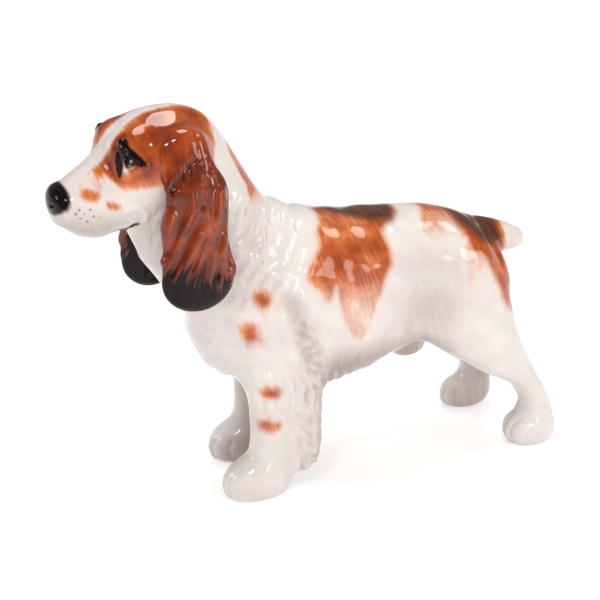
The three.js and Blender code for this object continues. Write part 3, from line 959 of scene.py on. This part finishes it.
coat_glaze = painted_glaze("coat_glaze", (0.85, 2.0), (1.5, 2.8), dark_brown, 0.95)


def bare_skin(name):
    """Places and normals of a casting's outer skin, without the middles of its seams."""
    cast = castings[name]
    return cast["places"][: len(cast["normals"])], cast["normals"]


finished("torso", coat_glaze, coat_paint(*bare_skin("torso")))

# Head finish: a brown mask with a white blaze, black round the eyes and on the nose, spots on the muzzle.
# The mask's outline is in the side view, and the blaze runs between two edges along the top of the head.
mask_outline = [
    (-74.8, 115.4), (-73.4, 112.4), (-71.4, 113.6), (-69.6, 112.7), (-67.4, 110.4), (-61.8, 110.6),
    (-56.9, 110.8), (-50, 110.5), (-42, 112), (-38.4, 116), (-36.6, 121.5), (-37.2, 127), (-38.5, 131),
    (-42, 136), (-60, 137), (-72, 130), (-77, 119),
]
blaze_left = [
    (-76, 4.4), (-74, 4.9), (-70.3, 5.4), (-68.6, 6.4), (-65.8, 5.8), (-63.9, 4.4), (-60, 3.3),
    (-54.3, 2.5), (-48.8, 1.9), (-43, 0.2), (-41, -1),
]
blaze_right = [
    (-76, -4.4), (-70, -3.6), (-66, -2.2), (-64, -2.2), (-60, -2.6), (-54, -2.2), (-48, -1.6),
    (-43, -0.6), (-41, 1),
]
eye_outline = [
    (-66.3, 124.6), (-65.4, 124.4), (-65.4, 123.2), (-64.6, 122.2), (-63.0, 120.8), (-61.0, 118.6),
    (-60.9, 117.2), (-62.5, 117.2), (-63.8, 117.7), (-64.8, 117.2), (-66.0, 116.8), (-66.9, 117.6),
    (-67.2, 120.6), (-67.2, 122.6),
]
# Black strokes: line, and the half width at both ends of the line.
eye_strokes = [
    ([(10.4, -66.8, 124.4), (11.2, -66.1, 124.3)], 1.2, 1.2),
    ([(11.2, -66.1, 124.3), (12.8, -65.6, 122.4), (14.2, -64.2, 121.0)], 1.2, 0.9),
    ([(14.2, -64.2, 121.0), (15.2, -62.6, 119.5), (15.9, -61.2, 117.9)], 1.0, 0.6),
    ([(10.8, -67.4, 123.0), (11.8, -67.6, 121.4), (12.3, -67.8, 118.9)], 1.0, 1.8),
    ([(12.3, -67.8, 118.9), (12.5, -68.1, 116.6), (12.9, -68.0, 114.4)], 1.8, 0.7),
]
mouth_shade = ([(6.0, -65.0, 94.8), (8.8, -64.2, 96.6), (10.6, -62.8, 98.2)], 0.6, 0.9)
lip_shade = ([(0.5, -87.0, 102.0), (3.0, -86.2, 99.6)], 0.5, 0.4)
muzzle_dabs = [
    ([(9.4, -77.2, 109.0), (10.2, -75.4, 108.2)], 2.1, 1.6, 1.6),
    ([(12.5, -71.4, 105.6), (13.4, -69.6, 105.0)], 1.3, 1.0, 1.0),
    ([(7.6, -73.6, 113.2), (8.8, -76.2, 110.4)], 2.8, -0.25, -0.25),
]
whisker_dots = [
    (9.6, -79.6, 102), (10.2, -77.8, 100.8), (10.7, -76, 102.4), (11, -74, 102), (9.5, -81, 103.4),
    (10.0, -78.4, 103.4), (9.7, -80, 104.5), (10.6, -76.8, 104.5),
]
dot_radius = 0.34
nose_paint, nose_paint_size, nose_paint_depth = (0, -83.7, 105.9), (9.0, 4.9, 5.1), 4.6
# Painted highlights in the eye, where the paint is left off the white: place and radius.
painted_eye_glints = [
    ((13.9, -65.7, 121.2), 0.1), ((14.7, -65.0, 118.9), 0.4), ((14.7, -65.4, 117.7), 0.3),
    ((14.1, -66.6, 116.2), 0.3),
]


def head_paint(places):
    """Depths of brown and black on the head with painted highlights left bare, painted shade under the
    muzzle, and hair lines.
    """
    both = folded(places)
    x, y = places[:, 0], places[:, 1]
    mask = outline_depth(places[:, 1:], mask_outline)
    left_edge = np.interp(y, *np.array(blaze_left).T)
    right_edge = np.interp(y, *np.array(blaze_right).T)
    mask = np.minimum(mask, np.maximum(x - left_edge, right_edge - x))
    brown = dabbed(both, np.minimum(np.maximum(mask, nape_depth(places)), 3.6), muzzle_dabs)
    black = np.minimum(outline_depth(both[:, 1:], eye_outline), both[:, 0] - 10)
    for line, first, last in [*eye_strokes, mouth_shade, lip_shade]:
        reach, travel = line_reach(both, line)
        black = np.maximum(black, first + travel * (last - first) - reach)
    brown += 3.0 * near(np.minimum(black, 0), 1.6) * (places[:, 2] > 108)
    # Painted highlights: black and brown are left off along the inner lid's ridge and at the eye's glints,
    # so the white shows through.
    ridge, _ = line_reach(both, inner_lid)
    shine = 2.5 * (ridge - 0.2)
    for spot, radius in painted_eye_glints:
        shine = np.minimum(shine, np.linalg.norm(both - spot, axis=1) - radius)
    brown, black = np.minimum(brown, shine - 0.5), np.minimum(black, shine)
    for dot in whisker_dots:
        black = np.maximum(black, dot_radius - np.linalg.norm(both - dot, axis=1))
    nose = np.linalg.norm((places - nose_paint) / nose_paint_size, axis=1)
    black = np.maximum(black, (1 - nose) * nose_paint_depth)
    # Painted shade under the muzzle and the lower lip, darker towards the front.
    painted_shade = ramp(places[:, 2], 106, 98) * (0.45 + 0.8 * ramp(y, -64, -72))
    hair = np.column_stack([y + 0.3 * places[:, 2], places[:, 2], x])
    return {"brown": brown, "black": black, "painted_shade": painted_shade, "hair": hair}


jet_black = [(0.3, (8, 6, 5)), (0.7, (30, 17, 12))]
face_glaze = painted_glaze("face_glaze", (0.9, 1.1), (0.3, 0.4), jet_black)
finished("head", face_glaze, head_paint(bare_skin("head")[0]))

# Ear finish: brown brushed along the locks, going over to black at the tips and on the inner side.
# The brown is painted lighter on the crests of the locks and darker between them, as painted highlight and
# shade, and black is painted into the fold below the root as its shade.
tip_black = 39.5
ear_glaze = painted_glaze("ear_glaze", (1.5, 0.8), (11.0, 4.5), jet_black)
for name, root in ear_roots.items():
    places, normals = bare_skin(name)
    side = math.copysign(1, root[0])
    lock, depth = ear_flow(places, root)
    across = places[:, 1] - root[1]
    inner = np.clip(-normals[:, 0] * side, 0, 1) * ramp(across, -11, -8)
    fold, _ = line_reach(places, ear_fold * (side, 1, 1) + root)
    black = np.maximum(depth - tip_black - 0.25 * (across + 12.8), inner * 24 - 12)
    # Painted shade: black in the fold below the root.
    black = np.maximum(black, (1.1 - fold) * 4)
    paint = {
        # Painted highlight and shade: brown thinner on the crests, thicker in the grooves.
        "brown": 3.6 + 2.0 * ramp(depth, 5, 14) - 1.2 * ear_relief(places, root),
        "black": black,
        "painted_shade": np.zeros(len(places)),
        "hair": np.column_stack([lock, depth, 0 * depth]),
    }
    finished(name, ear_glaze, paint)

# Foreleg finish: white, with two brown dabs on the left leg and one on the right.
# Warm grey painted shade lies behind the leg, deepest in the grooves of the feathering.
leg_dabs = [
    ([(20.6, -25.0, 38.8), (20.9, -22.9, 38.6)], 2.4, 2.4, 2.4),
    ([(19.2, -25.4, 26.8), (20.0, -22.0, 26.0)], 2.1, 1.3, 1.3),
    ([(18.9, -25.9, 30.4), (19.2, -25.4, 27.0)], 2.0, -1.0, 0.3),
    ([(-20.6, -17.0, 33.0), (-20.8, -15.0, 32.6)], 2.2, 2.4, 2.4),
]
for name, axis in foreleg_axes.items():
    places, normals = bare_skin(name)
    paint = coat_paint(places, normals)
    paint["brown"] = dabbed(places, paint["brown"], leg_dabs)
    # Painted shade behind the leg, deepest in the grooves of the feathering.
    behind = ramp(places[:, 1] - axis[1], 6, 11) * ramp(places[:, 2], 46, 40)
    grooves = np.clip(0.2 - foreleg_relief(places, axis), 0, 1)
    paint["painted_shade"] = np.maximum(paint["painted_shade"], behind * (0.25 + 0.8 * grooves))
    finished(name, coat_glaze, paint)

# Hind leg finish: white, with the rump's brown running on down the back of the thigh.
# It is brushed straight across the luted seam, so the legs take the trunk's patches.
for name in hind_leg_axes:
    finished(name, coat_glaze, coat_paint(*bare_skin(name)))

# Tail finish: dark at the root, as the rump's patch runs on, and white from half way to the tip.
# The values are the places along the body where the black and then the brown run out.
tail_dark = 68.5
tail_white = 71.2
places, normals = bare_skin("tail")
paint = coat_paint(places, normals)
paint["brown"] = np.maximum(tail_white - places[:, 1], -1.1)
paint["black"] = np.minimum(tail_dark - places[:, 1], 2.0)
finished("tail", coat_glaze, paint)

# Studio: a plain pale floor that runs out to white, and soft boxes that draw the highlights on the glaze.
# The floor's own glow is for the camera and for reflections, so it lights nothing.
floor_corners = [(-3, -3, 0), (3, -3, 0), (3, 3, 0), (-3, 3, 0)]
floor_mesh = bpy.data.meshes.new("floor")
floor_mesh.from_pydata(floor_corners, [], [(0, 1, 2, 3)])
floor = set_out("floor", floor_mesh)
paper = bpy.data.materials.new("paper")
paper.use_nodes = True
tree = paper.node_tree
sheet = tree.nodes["Principled BSDF"]
sheet.inputs["Base Color"].default_value = linear(243, 242, 241)
sheet.inputs["Roughness"].default_value = 0.9
rays = node(tree, "LightPath", {}).outputs
seen = rays["Is Camera Ray"]
for kind in ("Is Glossy Ray", "Is Transmission Ray"):
    seen = node(tree, "Math", {0: seen, 1: rays[kind]}, operation="ADD").outputs[0]
place = node(tree, "NewGeometry", {}).outputs["Position"]
outward = node(tree, "VectorMath", {0: place}, operation="LENGTH").outputs["Value"]
run_out = {"Value": outward, "From Min": 0.1, "From Max": 1.5, "To Min": 0.42, "To Max": 0.85}
glow = node(tree, "MapRange", run_out).outputs["Result"]
lift = node(tree, "Math", {0: seen, 1: glow}, operation="MULTIPLY")
tree.links.new(lift.outputs[0], sheet.inputs["Emission Strength"])
sheet.inputs["Emission Color"].default_value = (1, 1, 1, 1)
floor_mesh.materials.append(paper)

world = bpy.data.worlds.new("studio")
bpy.context.scene.world = world
world.use_nodes = True
tree = world.node_tree
backdrop = tree.nodes["Background"]
backdrop.inputs["Color"].default_value = (1, 1, 1, 1)
way = node(tree, "TexCoord", {})
rise = node(tree, "SeparateXYZ", {"Vector": way.outputs["Generated"]})
darkening = {"Value": rise.outputs["Z"], "From Min": 0.02, "From Max": 0.14, "To Min": 1.0, "To Max": 0.25}
sky = node(tree, "MapRange", darkening)
tree.links.new(sky.outputs["Result"], backdrop.inputs["Strength"])

lamp_colour = (1.0, 0.975, 0.96)
lamp_target = np.array([0.0, 0.0, 0.08])
# Columns: direction from the figurine, distance, width and height, watts, whether the glaze mirrors it.
soft_boxes = {
    "overhead_box": ((-0.36, 0.15, 0.92), 0.8, (0.27, 0.42), 2.0, True),
    "back_box": ((-0.02, 0.72, 0.69), 0.6, (0.20, 0.13), 0.36, True),
    "saddle_box": ((0.80, 0.45, 0.40), 0.6, (0.17, 0.17), 0.34, True),
    "side_box": ((0.50, 0.80, 0.33), 0.6, (0.15, 0.18), 0.36, True),
    "ear_box": ((0.90, 0.10, 0.14), 0.6, (0.05, 0.26), 0.30, True),
    "nose_box": ((-0.23, -0.88, 0.41), 0.8, (0.20, 0.20), 0.7, True),
    "paw_box": ((0.47, -0.46, 0.75), 0.7, (0.10, 0.10), 0.7, True),
    "fill_box": ((0.92, -0.33, 0.20), 0.9, (0.80, 0.60), 2.2, False),
    "top_fill_box": ((0.0, -0.2, 1.0), 1.0, (1.20, 1.20), 2.1, False),
}


def stand(thing, right, up, back, spot):
    """An object moved to a spot, with its own axes turned along these directions."""
    turned = np.column_stack([right, up, back, spot])
    thing.matrix_world = Matrix([*turned.tolist(), (0, 0, 0, 1)])


for name, (toward, away, (width, height), power, mirrored) in soft_boxes.items():
    lamp = bpy.data.lights.new(name, "AREA")
    lamp.shape = "ELLIPSE"
    lamp.size = width
    lamp.size_y = height
    lamp.energy = power
    lamp.color = lamp_colour
    box = set_out(name, lamp)
    box.visible_glossy = mirrored
    direction = np.array(toward) / np.linalg.norm(toward)
    level_way = np.cross((0, 0, 1), direction)
    level_way /= np.linalg.norm(level_way)
    rise_way = np.cross(direction, level_way)
    stand(box, level_way, rise_way, direction, lamp_target + direction * away)

# Camera: a long lens at the photograph's viewing angle, half a metre from the figurine.
# Its focal length and its shift are counted in pixels of the square picture.
azimuth, elevation = math.radians(65.0), math.radians(21.5)
focal_pixels = 1512.0
frame_pixels = 600.0
shift_pixels = (-6, -1)
aim = np.array([0.0, -0.0018, 0.060])
away = 0.5
camera_data = bpy.data.cameras.new("camera")
camera_data.sensor_width = 36.0
camera_data.lens = focal_pixels / frame_pixels * camera_data.sensor_width
camera_data.shift_x = shift_pixels[0] / frame_pixels
camera_data.shift_y = shift_pixels[1] / frame_pixels
camera = set_out("camera", camera_data)
level = math.cos(elevation)
back = np.array([math.sin(azimuth) * level, -math.cos(azimuth) * level, math.sin(elevation)])
right = np.array([math.cos(azimuth), math.sin(azimuth), 0.0])
stand(camera, right, np.cross(back, right), back, aim + back * away)
bpy.context.scene.camera = camera
bpy.context.scene.view_settings.view_transform = "Standard"
